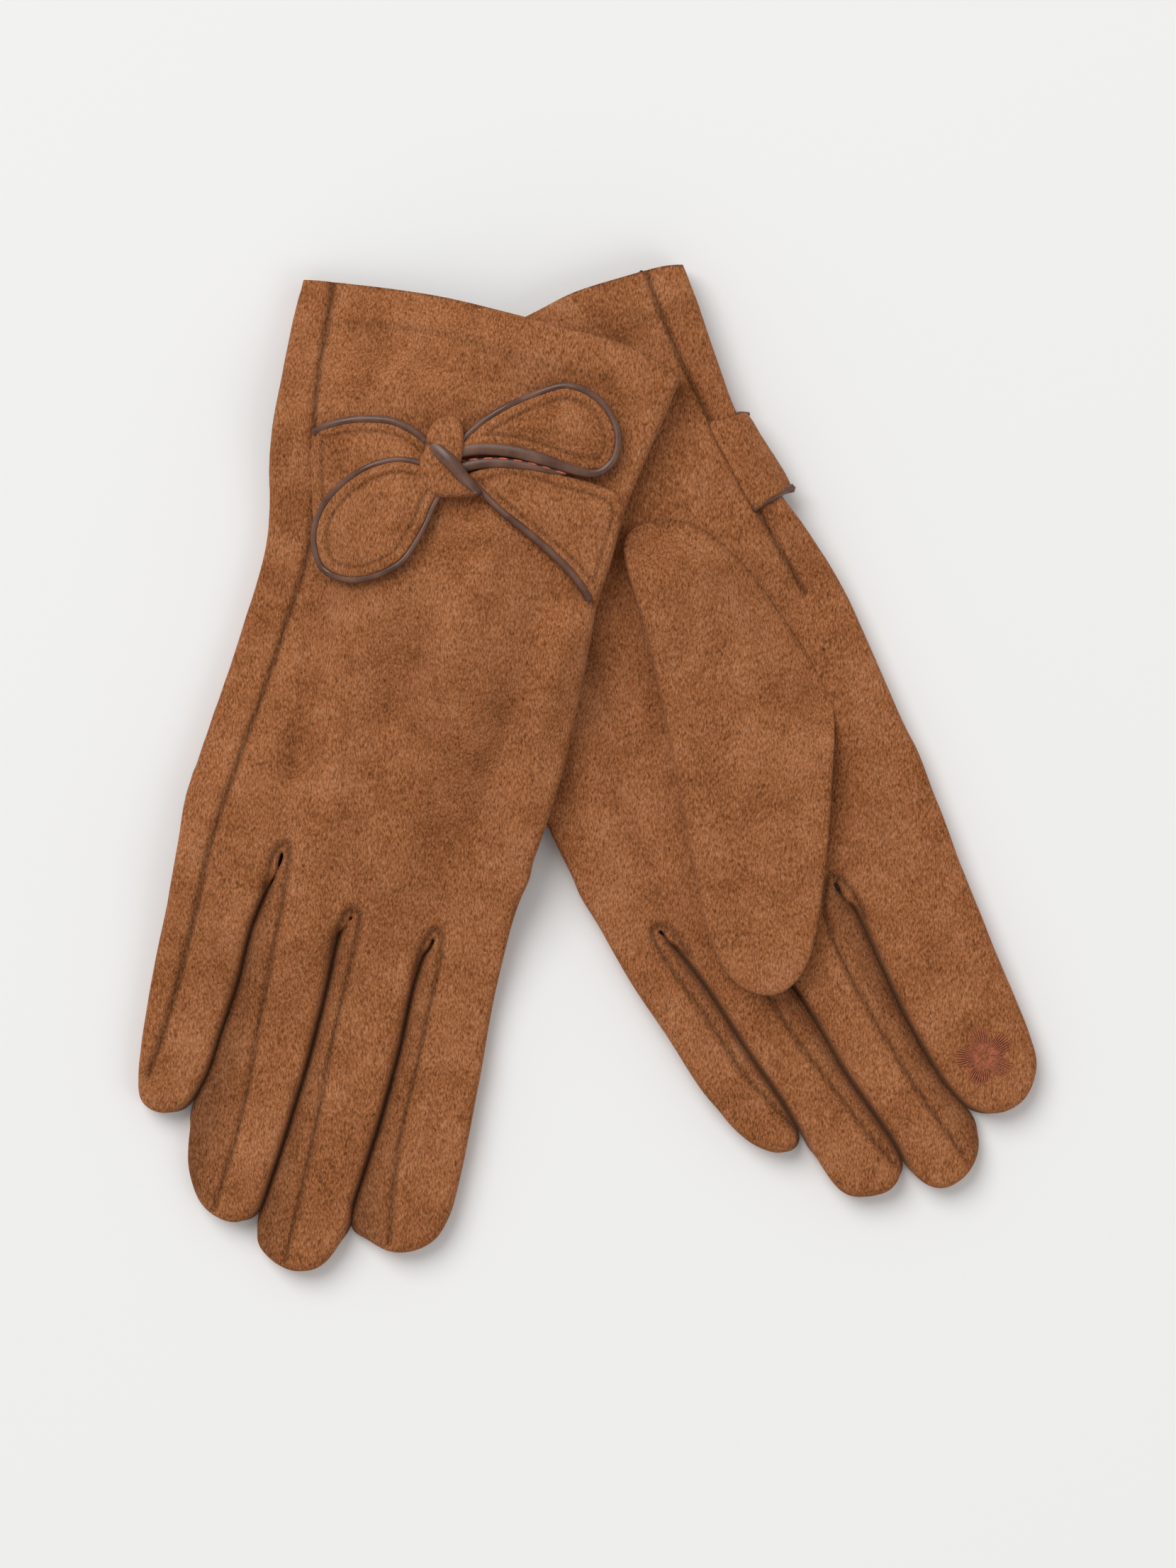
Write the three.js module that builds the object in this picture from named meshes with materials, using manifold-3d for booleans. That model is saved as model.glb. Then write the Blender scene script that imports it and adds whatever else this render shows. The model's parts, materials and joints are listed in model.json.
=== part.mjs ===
// A pair of women's touchscreen gloves laid out flat, the right one over the cuff of the left.
// Millimetres, +Z up. Origin: centre of the pair's footprint, on the table.
// Each glove is drawn back up in its own frame: cuff at y = 0, fingers towards -Y, index at +X.
import * as THREE from 'three';
import Module from 'manifold-3d';
import { mergeVertices } from 'three/addons/utils/BufferGeometryUtils.js';
import { TessellateModifier } from 'three/addons/modifiers/TessellateModifier.js';

const wasm = await Module();
wasm.setup();

// driving dimensions
const THICK = 7.5; // whole glove, empty and flat
const WALL = 1.1; // bonded suede and lining
const SEAM = 0.3; // room between two cloth pieces at a seam
const LAYER = 0.6; // room between stacked cloth
const EDGE = 2.4; // rounding of the glove's edges
const HALF = 46.4; // half the cuff width
const THUMB_TOP = -54; // where the thumb is sewn to the palm
const PALM_END = -139; // where the fingers part
const FACET = 16; // longest edge on a draped piece
const STEPS = 5; // curve divisions on an outline
const PITCH = 5.2; // slope of the top glove, from its fingertips up to its cuff
const TIPS = -122.3; // where the top glove's fingertips meet the table
const BOW_LIFT = 3.8; // height of the left glove over its own bow
const REST = 0.3; // the top glove's fingertips clear the table by this much
const SEAM_IN = 8.5; // side seams lie this far inside the edge
const STRAP = 1.4; // doubled suede strap
const LOOP = 2.6; // flattened loop of the bow
const PIPE = 0.85; // radius of the leather piping
const FAR = 300; // larger than a glove

const suede = { color: 0x8f5a33, roughness: 0.95, metalness: 0 };
const suedeDark = { color: 0x7c4a29, roughness: 0.95, metalness: 0 };
const leather = { color: 0x553628, roughness: 0.42, metalness: 0 };
const thread = { color: 0xb8583a, roughness: 0.7, metalness: 0 };

// each finger: knuckle point, centre of the round tip, widths there, and where it bends along it
const layouts = {
  right: {
    place: { x: -23.15, y: 104.5, turn: -13 },
    faceUp: true,
    bowHeight: 7.6,
    fingers: {
      index: { base: [28.6, -130], tip: [27.3, -209.6], wide: [18.2, 20.2], bend: 0.44 },
      middle: { base: [8.8, -130], tip: [4.4, -220.4], wide: [17.8, 19], bend: 0.42 },
      ring: { base: [-11.2, -130], tip: [-16.2, -212.2], wide: [17.8, 19.8], bend: 0.44 },
      little: { base: [-32.2, -122], tip: [-34.8, -192], wide: [21, 15.8], bend: 0.42 },
    },
    thumb: { length: 0.68, thick: 2.9, shift: [-14, -16] },
  },
  left: {
    place: { x: -18.75, y: 100.7, turn: 26 },
    faceUp: false,
    bowHeight: 3.4,
    fingers: {
      index: { base: [31.6, -130], tip: [29.5, -205.6], wide: [22, 20.4], bend: 0.44 },
      middle: { base: [9.2, -130], tip: [9.8, -217.2], wide: [17.2, 18.6], bend: 0.46 },
      ring: { base: [-10.6, -130], tip: [-9.8, -211.6], wide: [17, 18.4], bend: 0.48 },
      little: { base: [-31.6, -122], tip: [-28.0, -194], wide: [18, 15], bend: 0.42 },
    },
    thumb: { length: 1, thick: 6.2, shift: [0, 0] },
  },
};

// the hand seen from above, from the ulnar corner of the cuff round to the radial side and back
const cuffOutline = [
  [-HALF, 0.5], [-22, 4.6], [4, 5.2], [28, 3.2], [HALF, 0], [43.2, -24], [41.6, -46], [42.2, -70],
];
const ulnarOutline = [[-44.6, -104], [-41.6, -70], [-43.2, -48], [-45.6, -24]];
const knuckles = { radialDrop: 0.4, ulnarRise: 8, spare: 0.6 }; // where the hand's sides run into the outer fingers
const thumbOutline = [
  [4, -55], [13, -52.5], [22, -58], [28, -71], [31.6, -90], [33.6, -108], [24, -128], [12, -148],
  [1, -163], [-9, -167.6], [-17, -162], [-18.6, -150], [-14.6, -132], [-8, -108], [-0.6, -78],
];
const thumbMouth = [[8, -60], [20, -61], [25, -74], [28, -92], [26, -100], [6, -78]];
const loopUlnar = [
  [-9.6, -35.4], [-14, -35.2], [-20, -38.8], [-25.6, -45], [-29.4, -54], [-27.6, -61.4],
  [-21.4, -65], [-14.6, -63.6], [-8.8, -57.4], [-5, -49.6], [-4, -42.6],
];
const loopRadial = [
  [4.8, -22.6], [10.4, -15.2], [18, -9.8], [26, -8.2], [32.6, -11.2], [35.4, -18], [34, -25],
  [29.6, -28.6], [22, -29.2], [12, -29.4], [6.4, -28.4],
];
const tailUlnar = [[-36, -31.5], [-24, -28.4], [-10.2, -29.6], [-10.2, -36], [-22, -41], [-34, -51]];
const tailRadial = [[5.6, -31], [20, -31.4], [34, -33], [40, -36.4], [39.6, -48], [37.6, -56], [26, -49.6], [5.6, -38]];
const knot = { x: -2.7, y: -32.2, wide: 11.6, long: 17.6 };
const bandOutline = [[-3.4, 4.6], [-1.2, 5], [4.4, -4.4], [3, -5.4]]; // about the knot's centre
const bandThick = 1.1;
const bowGap = 0.4; // between the straps and the loops over them
const cutTall = 20; // taller than the bow
const flower = { x: 0.2, inset: 2.6, petal: 4.1, scallop: 0.34, thick: 0.7, petals: 5, steps: 40 };

// ---- solids ----
function toSolid(geometry) {
  const plain = geometry.clone();
  plain.deleteAttribute('normal');
  plain.deleteAttribute('uv');
  const merged = mergeVertices(plain, 1e-4);
  return new wasm.Manifold(new wasm.Mesh({
    numProp: 3,
    vertProperties: new Float32Array(merged.attributes.position.array),
    triVerts: new Uint32Array(merged.index.array),
  }));
}

function toGeometry(solid) {
  const mesh = solid.getMesh();
  const geometry = new THREE.BufferGeometry();
  geometry.setAttribute('position', new THREE.BufferAttribute(new Float32Array(mesh.vertProperties), 3));
  geometry.setIndex(new THREE.BufferAttribute(new Uint32Array(mesh.triVerts), 1));
  return geometry;
}

// the main body of a cut solid, without the chips that a cut leaves
function mainBody(solid) {
  const bodies = solid.decompose();
  return bodies.reduce((best, one) => (one.volume() > best.volume() ? one : best));
}

// a slab of an outline between two heights, with its rim rounded by round
function slab(shape, low, high, round = 0, inset = 0) {
  const geometry = new THREE.ExtrudeGeometry(shape, {
    depth: high - low - 2 * round,
    bevelEnabled: round > 0 || inset > 0,
    bevelThickness: round,
    bevelSize: round,
    bevelOffset: -round - inset,
    bevelSegments: 1,
    curveSegments: STEPS,
    steps: 1,
  });
  return toSolid(geometry.translate(0, 0, low + round));
}

function smoothShape(points, perSide = 1) {
  const curve = new THREE.CatmullRomCurve3(points.map(([x, y]) => new THREE.Vector3(x, y, 0)), true, 'centripetal');
  return new THREE.Shape(curve.getPoints(points.length * perSide).slice(0, -1).map((p) => new THREE.Vector2(p.x, p.y)));
}

function polygon(points) {
  return new THREE.Shape(points.map(([x, y]) => new THREE.Vector2(x, y)));
}

// a finger seen from above: straight sides and a round end, grown outwards by grow
function fingerShape({ base, tip, wide }, grow) {
  const along = new THREE.Vector2(tip[0] - base[0], tip[1] - base[1]).normalize();
  const side = new THREE.Vector2(-along.y, along.x);
  const corner = (at, half) => new THREE.Vector2(at[0] + side.x * half, at[1] + side.y * half);
  const tipRadius = wide[1] / 2 + grow;
  const from = Math.atan2(side.y, side.x);
  const shape = new THREE.Shape();
  const startLeft = corner(base, wide[0] / 2 + grow);
  const startRight = corner(base, -wide[0] / 2 - grow);
  shape.moveTo(startRight.x, startRight.y);
  shape.lineTo(startLeft.x, startLeft.y);
  shape.absarc(tip[0], tip[1], tipRadius, from, from - Math.PI, true);
  shape.closePath();
  return shape;
}

// how far along a finger its bend line lies, and the part of the plan beyond it
function bendOf({ base, tip, bend }) {
  const along = new THREE.Vector2(tip[0] - base[0], tip[1] - base[1]);
  const at = new THREE.Vector2(base[0], base[1]).addScaledVector(along, bend);
  return { at, along: along.normalize() };
}

function beyond(finger, gap) {
  const { at, along } = bendOf(finger);
  const side = new THREE.Vector2(-along.y, along.x);
  const half = 16;
  const reach = 90;
  const point = (s, a) => [at.x + side.x * s + along.x * a, at.y + side.y * s + along.y * a];
  return polygon([point(-half, gap), point(half, gap), point(half, reach), point(-half, reach)]);
}

// ---- how the gloves drape ----
const ease = (t) => {
  const k = Math.min(Math.max(t, 0), 1);
  return k * k * (3 - 2 * k);
};

// the left glove rises over its own bow, near the cuff
function leftLift(x, y) {
  const outX = Math.max(Math.abs(x) - 40, 0);
  const outY = Math.max(Math.abs(y + 36) - 30, 0);
  return BOW_LIFT * (1 - ease(Math.hypot(outX, outY) / 26));
}

const tessellate = new TessellateModifier(FACET, 30);

// cuts a solid's faces small where it has to bend, and raises it by the drape
function drape(solid, lift, faceUp, bends) {
  const plain = toGeometry(solid).toNonIndexed();
  const geometry = bends ? tessellate.modify(plain) : plain;
  const spot = geometry.attributes.position;
  for (let i = 0; i < spot.count; i += 1) {
    const z = faceUp ? spot.getZ(i) : THICK - spot.getZ(i);
    spot.setZ(i, z + lift(spot.getX(i), spot.getY(i)));
  }
  const merged = mergeVertices(geometry, 1e-4);
  if (!faceUp) {
    const index = merged.index.array;
    for (let i = 0; i < index.length; i += 3) {
      [index[i], index[i + 1]] = [index[i + 1], index[i]];
    }
  }
  merged.computeVertexNormals();
  return merged;
}

// the hand's outline, running smoothly into the index and little fingers
function palmOutline({ index, little }) {
  const radial = index.base[0] + index.wide[0] / 2 + knuckles.spare;
  const ulnar = little.base[0] - little.wide[0] / 2 - knuckles.spare;
  const halfway = (radial + cuffOutline.at(-1)[0]) / 2;
  return [
    ...cuffOutline, [halfway, -104], [radial, PALM_END - knuckles.radialDrop],
    [ulnar, PALM_END + knuckles.ulnarRise], ...ulnarOutline,
  ];
}

// ---- one glove ----
function makeGlove(side) {
  const { place, faceUp, bowHeight, fingers, thumb } = layouts[side];
  const group = new THREE.Group();
  group.position.set(place.x, place.y, 0);
  group.rotation.z = THREE.MathUtils.degToRad(place.turn);
  const flat = () => 0;
  const lift = side === 'right' ? flat : leftLift;
  const list = Object.entries(fingers);

  const add = (name, solid, look, raise = lift, bends = side === 'left') => {
    const geometry = drape(mainBody(solid), raise, faceUp, bends);
    const mesh = new THREE.Mesh(geometry, new THREE.MeshStandardMaterial(look));
    mesh.name = `${side}_${name}`;
    group.add(mesh);
  };

  // the hollow glove, all in one
  const palm = smoothShape(palmOutline(fingers));
  const mouth = polygon([[-HALF + 3.4, -20], [HALF - 3.4, -20], [HALF - 1.8, 20], [-HALF + 1.8, 20]]);
  let outer = slab(palm, 0, THICK, EDGE);
  let inner = slab(palm, WALL, THICK - WALL, EDGE - WALL, WALL).add(slab(mouth, WALL, THICK - WALL, EDGE - WALL));
  list.forEach(([, finger]) => {
    outer = outer.add(slab(fingerShape(finger, 0), 0, THICK, EDGE));
    inner = inner.add(slab(fingerShape(finger, 0), WALL, THICK - WALL, EDGE - WALL, WALL));
  });
  const shell = outer.subtract(inner);

  // side seams, and the three layers that the cloth pieces take
  const little = fingers.little;
  const index = fingers.index;
  const ulnar = (grow) => polygon([
    [-FAR, 60], [-HALF + SEAM_IN + grow, 60], [-HALF + SEAM_IN + grow, -10], [-34.6 + grow, -46],
    [-34.2 + grow, -74], [-36.4 + grow, -108],
    [little.tip[0] - 3.2 + grow, little.tip[1] + 24], [little.tip[0] - 5 + grow, little.tip[1] - 20], [-FAR, -FAR],
  ]);
  const radial = (grow) => polygon([
    [FAR, 60], [HALF - SEAM_IN - grow, 60], [HALF - SEAM_IN - grow, -10], [34.6 - grow, -46],
    [35 - grow, -74], [36 - grow, -108],
    [index.tip[0] + 6.4 - grow, index.tip[1] + 24], [index.tip[0] + 6.4 - grow, index.tip[1] - 20], [FAR, -FAR],
  ]);
  const sheet = (low, high) => slab(polygon([[-FAR, -FAR], [FAR, -FAR], [FAR, FAR], [-FAR, FAR]]), low, high);
  const whole = (shape) => slab(shape, -1, THICK + 1);
  const back = whole(radial(0)).add(sheet(THICK - WALL - 0.4, THICK + 1).subtract(whole(ulnar(SEAM))));
  const front = whole(ulnar(0)).add(sheet(-1, WALL + 0.4).subtract(whole(radial(SEAM))));
  const middle = sheet(WALL + 0.4 + SEAM, THICK - WALL - 0.4 - SEAM)
    .subtract(whole(ulnar(SEAM)))
    .subtract(whole(radial(SEAM)));
  const backCloth = shell.intersect(back);
  const frontCloth = shell.intersect(front.subtract(whole(radial(SEAM))));
  const gapCloth = shell.intersect(middle);

  const outside = list.map(([, finger]) => whole(beyond(finger, -SEAM / 2)));
  const cutFingers = (solid) => outside.reduce((rest, cut) => rest.subtract(cut), solid);
  add('back_panel', cutFingers(backCloth), suede);
  add('palm_panel', cutFingers(frontCloth), suede);

  // one side strip round each fork between two fingers
  for (let i = 0; i < 3; i += 1) {
    const [nameA, a] = list[i];
    const [nameB, b] = list[i + 1];
    const fork = polygon([[a.base[0], -100], [...a.base], [...a.tip], [...b.tip], [...b.base], [b.base[0], -100]]);
    add(`fork_${nameA}_${nameB}`, cutFingers(gapCloth.intersect(whole(fork))), suedeDark);
  }

  // the free length of each finger
  list.forEach(([name, finger], i) => {
    const part = whole(beyond(finger, SEAM / 2)).intersect(whole(fingerShape(finger, SEAM / 2)));
    const { at, along } = bendOf(finger);
    const level = () => lift(at.x, at.y);
    add(`${name}_back`, backCloth.intersect(part), suede, level, false);
    add(`${name}_front`, frontCloth.intersect(part), suede, level, false);
    const across = new THREE.Vector2(-along.y, along.x);
    const half = (sign) => {
      const p = (s, a) => [at.x + across.x * s * sign + along.x * a, at.y + across.y * s * sign + along.y * a];
      return whole(polygon(sign > 0
        ? [p(SEAM, -5), p(SEAM, 90), p(20, 90), p(20, -5)]
        : [p(SEAM, -5), p(20, -5), p(20, 90), p(SEAM, 90)]));
    };
    const strip = gapCloth.intersect(part);
    if (i < 3) add(`${name}_side_ulnar`, strip.intersect(half(-1)), suedeDark, level, false);
    if (i > 0) add(`${name}_side_radial`, strip.intersect(half(1)), suedeDark, level, false);
  });

  // the thumb, folded flat over the palm side
  const onPalm = ([x, y]) => [x + thumb.shift[0], THUMB_TOP + (y - THUMB_TOP) * thumb.length + thumb.shift[1]];
  const thumbShape = smoothShape(thumbOutline.map(onPalm));
  const thumbTop = -LAYER;
  const thumbLow = thumbTop - thumb.thick;
  let tube = slab(thumbShape, thumbLow, thumbTop, 1.3);
  const thumbWall = thumb.thick > 4 ? WALL : 0.8;
  tube = tube.subtract(slab(thumbShape, thumbLow + thumbWall, thumbTop - thumbWall, 0.3, WALL + 0.6));
  const opening = polygon(thumbMouth.map(onPalm));
  tube = tube.subtract(slab(opening, thumbTop - 2 * WALL, thumbTop + 1));
  add('thumb', tube, suede, lift);

  // the touch pad: a five-petal flower of thread on the index fingertip's palm side
  const petals = new THREE.Shape();
  const flowerY = index.tip[1] + flower.inset;
  for (let k = 0; k < flower.steps; k += 1) {
    const turn = (k / flower.steps) * 2 * Math.PI;
    const reach = flower.petal * (1 + flower.scallop * Math.cos(flower.petals * turn));
    const point = [index.tip[0] + flower.x + reach * Math.cos(turn), flowerY + reach * Math.sin(turn)];
    if (k === 0) petals.moveTo(...point);
    else petals.lineTo(...point);
  }
  petals.closePath();
  add('index_touch_pad', slab(petals, -LAYER / 2 - flower.thick, -LAYER / 2), thread, () => lift(...index.tip), false);

  // the bow over the back of the wrist
  const top = THICK + LAYER;
  const squeeze = bowHeight / layouts.right.bowHeight;
  const strapTop = top + STRAP * squeeze;
  const loopLow = strapTop + bowGap;
  const loopTop = loopLow + LOOP * squeeze;
  const bowLift = side === 'right' ? flat : () => BOW_LIFT;
  add('tail_ulnar', slab(smoothShape(tailUlnar), top, strapTop, 0.3), suede, bowLift, false);
  add('tail_radial', slab(smoothShape(tailRadial), top, strapTop, 0.3), suede, bowLift, false);
  add('loop_ulnar', slab(smoothShape(loopUlnar), loopLow, loopTop, 0.5), suede, bowLift, false);
  add('loop_radial', slab(smoothShape(loopRadial), loopLow, loopTop, 0.5), suede, bowLift, false);
  const wrap = smoothShape([
    [knot.x - knot.wide / 2, knot.y + 4], [knot.x - 1, knot.y + knot.long / 2], [knot.x + knot.wide / 2, knot.y + 6],
    [knot.x + knot.wide / 2, knot.y - 4], [knot.x + 1, knot.y - knot.long / 2], [knot.x - knot.wide / 2, knot.y - 5],
  ]);
  const knotTop = top + bowHeight - bandThick - SEAM;
  const knotSolid = slab(wrap, top, knotTop, Math.min(1.6, bowHeight / 4));
  const clear = [tailUlnar, tailRadial, loopUlnar, loopRadial]
    .map((points) => slab(smoothShape(points), top - 1, top + cutTall, 0.01, -0.5));
  add('knot', clear.reduce((rest, cut) => rest.subtract(cut), knotSolid), suede, bowLift, false);

  if (side === 'right') {
    const band = polygon(bandOutline.map(([x, y]) => [knot.x + x, knot.y + y]));
    add('knot_band', slab(band, knotTop + SEAM, knotTop + SEAM + bandThick, 0.2), leather, bowLift, false);
    [['ulnar', loopUlnar], ['radial', loopRadial]].forEach(([name, points]) => {
      const outline = smoothShape(points);
      const rim = slab(outline, loopLow + bowGap, loopLow + bowGap + 2 * PIPE, 0.5, -2 * SEAM - 2 * PIPE)
        .subtract(slab(outline, loopLow - 1, loopTop + 1, 0.01, -0.35));
      const knotCut = slab(wrap, top, top + cutTall, 0.01, -bowGap);
      add(`piping_loop_${name}`, rim.subtract(knotCut), leather, bowLift, false);
    });
  }
  return group;
}

const pair = new THREE.Group();
const slope = new THREE.Group();
slope.position.set(0, TIPS, REST);
slope.rotation.x = THREE.MathUtils.degToRad(PITCH);
const rightGlove = makeGlove('right');
rightGlove.position.y -= TIPS;
slope.add(rightGlove);
pair.add(slope, makeGlove('left'));

export default pair;
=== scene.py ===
# A pair of suede touchscreen gloves laid flat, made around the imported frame.
# Plans are in millimetres in each glove's own frame: cuff at y 0, fingers towards -y, index at +x.
import json
import math

import bmesh
import bpy
import numpy as np
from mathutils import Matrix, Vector, noise
from mathutils.bvhtree import BVHTree
from mathutils.kdtree import KDTree


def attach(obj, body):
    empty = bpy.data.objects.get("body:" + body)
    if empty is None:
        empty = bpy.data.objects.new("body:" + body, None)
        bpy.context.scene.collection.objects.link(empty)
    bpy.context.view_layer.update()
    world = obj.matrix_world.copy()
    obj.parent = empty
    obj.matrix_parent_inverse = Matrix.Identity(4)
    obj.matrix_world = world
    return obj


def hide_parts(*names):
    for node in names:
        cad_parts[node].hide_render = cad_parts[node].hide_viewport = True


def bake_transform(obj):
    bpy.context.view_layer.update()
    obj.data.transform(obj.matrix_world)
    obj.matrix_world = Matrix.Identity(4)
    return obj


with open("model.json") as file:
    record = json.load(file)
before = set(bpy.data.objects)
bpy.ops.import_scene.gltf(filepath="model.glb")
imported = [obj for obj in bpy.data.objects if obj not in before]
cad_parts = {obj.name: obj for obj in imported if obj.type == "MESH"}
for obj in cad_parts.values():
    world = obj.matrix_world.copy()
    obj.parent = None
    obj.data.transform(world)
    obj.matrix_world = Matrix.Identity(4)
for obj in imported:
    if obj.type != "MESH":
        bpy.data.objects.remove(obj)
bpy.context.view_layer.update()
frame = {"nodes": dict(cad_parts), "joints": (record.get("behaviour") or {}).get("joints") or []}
mm = 0.001

layouts = {
    "right": {"place": (-23.15, 104.5), "turn": -13, "lies": "backUp", "fingers": {
        "index": {"base": (28.6, -130), "tip": (27.3, -209.6)},
        "middle": {"base": (8.8, -130), "tip": (4.4, -220.4)},
        "ring": {"base": (-11.2, -130), "tip": (-16.2, -212.2)},
        "little": {"base": (-32.2, -122), "tip": (-34.8, -192)}}},
    "left": {"place": (-18.75, 100.7), "turn": 26, "lies": "palmUp", "fingers": {
        "index": {"base": (31.6, -130), "tip": (29.5, -205.6)},
        "middle": {"base": (9.2, -130), "tip": (9.8, -217.2)},
        "ring": {"base": (-10.6, -130), "tip": (-9.8, -211.6)},
        "little": {"base": (-31.6, -122), "tip": (-28.0, -194)}}}}
cloth = {  # an empty glove, in mm: its thickness, wall and rounding, and how fingers part
    "thick": 7.5, "wall": 1.1, "voxel": 0.82, "rounding": 12, "gap": 0.8, "inset": 0.5,
    "plump": 0.6, "skirt": 0.85, "cuffTrim": 5}
drape = {  # what lifts a glove off the table, and how gently it falls away, in mm
    "bowLift": 3.8, "between": 0.9, "fall": 34, "thumbLift": 3.9, "thumbFall": 24}
above = 0.2  # metres over the table to look down from

outlines = {  # each glove seen from above, in its own plan
    "right": {
        "cuff": [(-46.4, 2.8), (-39.4, 3.8), (-25, 5.2), (-10.6, 5.9), (7.4, 5.2), (22, 4.6), (34.4, 3.7),
                 (46.4, 0)],
        "radial": [(46.2, -6), (43.6, -20), (41.3, -33), (40.7, -47), (39.7, -57), (40.5, -73), (40.8, -95),
                   (40, -110), (38.6, -122), (37.4, -132), (36.8, -145), (37, -160), (37.8, -176),
                   (38.6, -192), (38.7, -204)],
        "ulnar": [(-46.7, -9), (-46, -30), (-44.4, -43), (-42.2, -52), (-40.8, -65), (-42.3, -86),
                  (-44.2, -104), (-45.7, -120), (-45.4, -135), (-44.6, -152), (-44.1, -171), (-43.2, -185),
                  (-42.2, -193)],
        "slits": [[(-20.1, -132.5), (-22.5, -144), (-23.7, -153), (-24.2, -167), (-25.6, -183),
                   (-26.6, -190)],
                  [(-1, -143.4), (-2.8, -147.5), (-3, -154), (-2.9, -168), (-3.5, -184), (-4.6, -199),
                   (-5.8, -212.5)],
                  [(19.8, -144.2), (18.4, -148.5), (17.4, -158), (17.6, -173), (17, -191), (15.9, -205),
                   (15.2, -211.5)]],
        "ends": [[(-28.6, -197.5), (-31, -201), (-31, -225)], [(-6.7, -218), (-8.6, -222), (-8.6, -236)],
                 [(15.7, -216.4), (17, -219.5), (17, -236)]],
        "tips": {"little": [(-40.2, -198.6), (-35, -200.4), (-30, -197.4)],
                 "ring": [(-27.4, -197), (-26.8, -206), (-25, -212.9), (-20.3, -219.8), (-12.8, -222.2),
                          (-7.8, -218.9)],
                 "middle": [(-6, -223.8), (-1.7, -228.6), (4.7, -230.2), (10.4, -228), (13.6, -222.4),
                            (14.8, -216)],
                 "index": [(16.6, -216.8), (24.2, -220.2), (30.4, -219.6), (35.8, -215.6), (38.1, -209.6)]}},
    "left": {
        "cuff": [(-46.4, 2.8), (-30, 5.2), (-10.6, 5.8), (6.9, 5.2), (20, 5.4), (32.5, 3.5), (41.7, 1.7),
                 (46.4, 0)],
        "radial": [(46, -8), (44.4, -21), (42.6, -36), (43.2, -48), (43.6, -60), (45.4, -70), (47.2, -86),
                   (46.9, -104), (46, -124), (44.9, -145), (43.2, -163), (42, -181), (41.4, -195),
                   (40.7, -203)],
        "ulnar": [(-46.6, -9), (-45.6, -30), (-43.5, -50), (-41, -70), (-41.2, -90), (-41.7, -108),
                  (-41.5, -121), (-41, -135), (-40.1, -150), (-38, -164), (-36.2, -180), (-34.6, -187)],
        "slits": [[(-28.3, -141.6), (-27, -146.5), (-24.7, -157), (-23.1, -169), (-21.1, -184),
                   (-19.4, -198)],
                  [(-9.4, -148), (-7.2, -158), (-5.5, -168), (-4.4, -177), (-3, -194), (-0.2, -211)],
                  [(14.5, -149.2), (16.2, -158), (15.8, -175), (15.9, -190), (17.2, -204), (18.8, -210.6)]],
        "ends": [[(-20.2, -202.4), (-20.4, -236)], [(-0.1, -216), (-1, -220), (-1, -236)],
                 [(19.9, -214.4), (21.4, -217), (21.4, -236)]],
        "tips": {"little": [(-33.6, -191.4), (-30.8, -197.6), (-26.1, -202.2), (-21.8, -202.2)],
                 "ring": [(-18.4, -207), (-16.6, -217.2), (-11.6, -221), (-5.4, -221.8), (-1.2, -218)],
                 "middle": [(1.2, -222), (6.1, -227.4), (13.3, -226.2), (18, -221.6), (19, -215.6)],
                 "index": [(20.9, -213.2), (25.5, -216.8), (32.8, -216.4), (38.8, -210.6)]}}}
thumbPlan = [(4, -55), (13, -52.5), (22, -58), (28, -71), (31.6, -90), (33.6, -108), (24, -128), (12, -148),
             (1, -163), (-9, -167.6), (-17, -162), (-18.6, -150), (-14.6, -132), (-8, -108), (-0.6, -78)]


# small helpers
def smoothLoop(points, per=8, closed=True):  # a Catmull-Rom curve through the points
    pts = [np.array(p, float) for p in points]
    n = len(pts)
    out = []
    for i in range(n if closed else n - 1):
        if closed:
            p0, p1, p2, p3 = (pts[(i + k) % n] for k in (-1, 0, 1, 2))
        else:
            p0, p1, p2, p3 = (pts[min(max(i + k, 0), n - 1)] for k in (-1, 0, 1, 2))
        for k in range(per):
            t = k / per
            out.append(0.5 * (2 * p1 + (p2 - p0) * t + (2 * p0 - 5 * p1 + 4 * p2 - p3) * t * t
                              + (3 * p1 - p0 - 3 * p2 + p3) * t ** 3))
    if not closed:
        out.append(pts[-1])
    return np.array(out)


def ease(t):
    t = np.clip(t, 0, 1)
    return t * t * (3 - 2 * t)


def nearLine(x, y, line):  # distance of each point from a polyline
    best = np.full(len(x), 1e9)
    for a, b in zip(line[:-1], line[1:]):
        d = b - a
        t = np.clip(((x - a[0]) * d[0] + (y - a[1]) * d[1]) / max(d @ d, 1e-9), 0, 1)
        best = np.minimum(best, np.hypot(x - a[0] - t * d[0], y - a[1] - t * d[1]))
    return best


def toPair(side, x, y):  # glove plan to the pair's own plan
    a = math.radians(layouts[side]["turn"])
    px, py = layouts[side]["place"]
    return x * math.cos(a) - y * math.sin(a) + px, x * math.sin(a) + y * math.cos(a) + py


def fromPair(side, x, y):
    a = math.radians(layouts[side]["turn"])
    px, py = layouts[side]["place"]
    u, v = x - px, y - py
    return u * math.cos(a) + v * math.sin(a), -u * math.sin(a) + v * math.cos(a)


def leftRise(x, y):  # the left glove over its own bow
    out = np.hypot(np.maximum(np.abs(x) - 38, 0), np.maximum(np.abs(y + 36) - 28, 0))
    return drape["bowLift"] * (1 - ease(out / 28))


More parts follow.
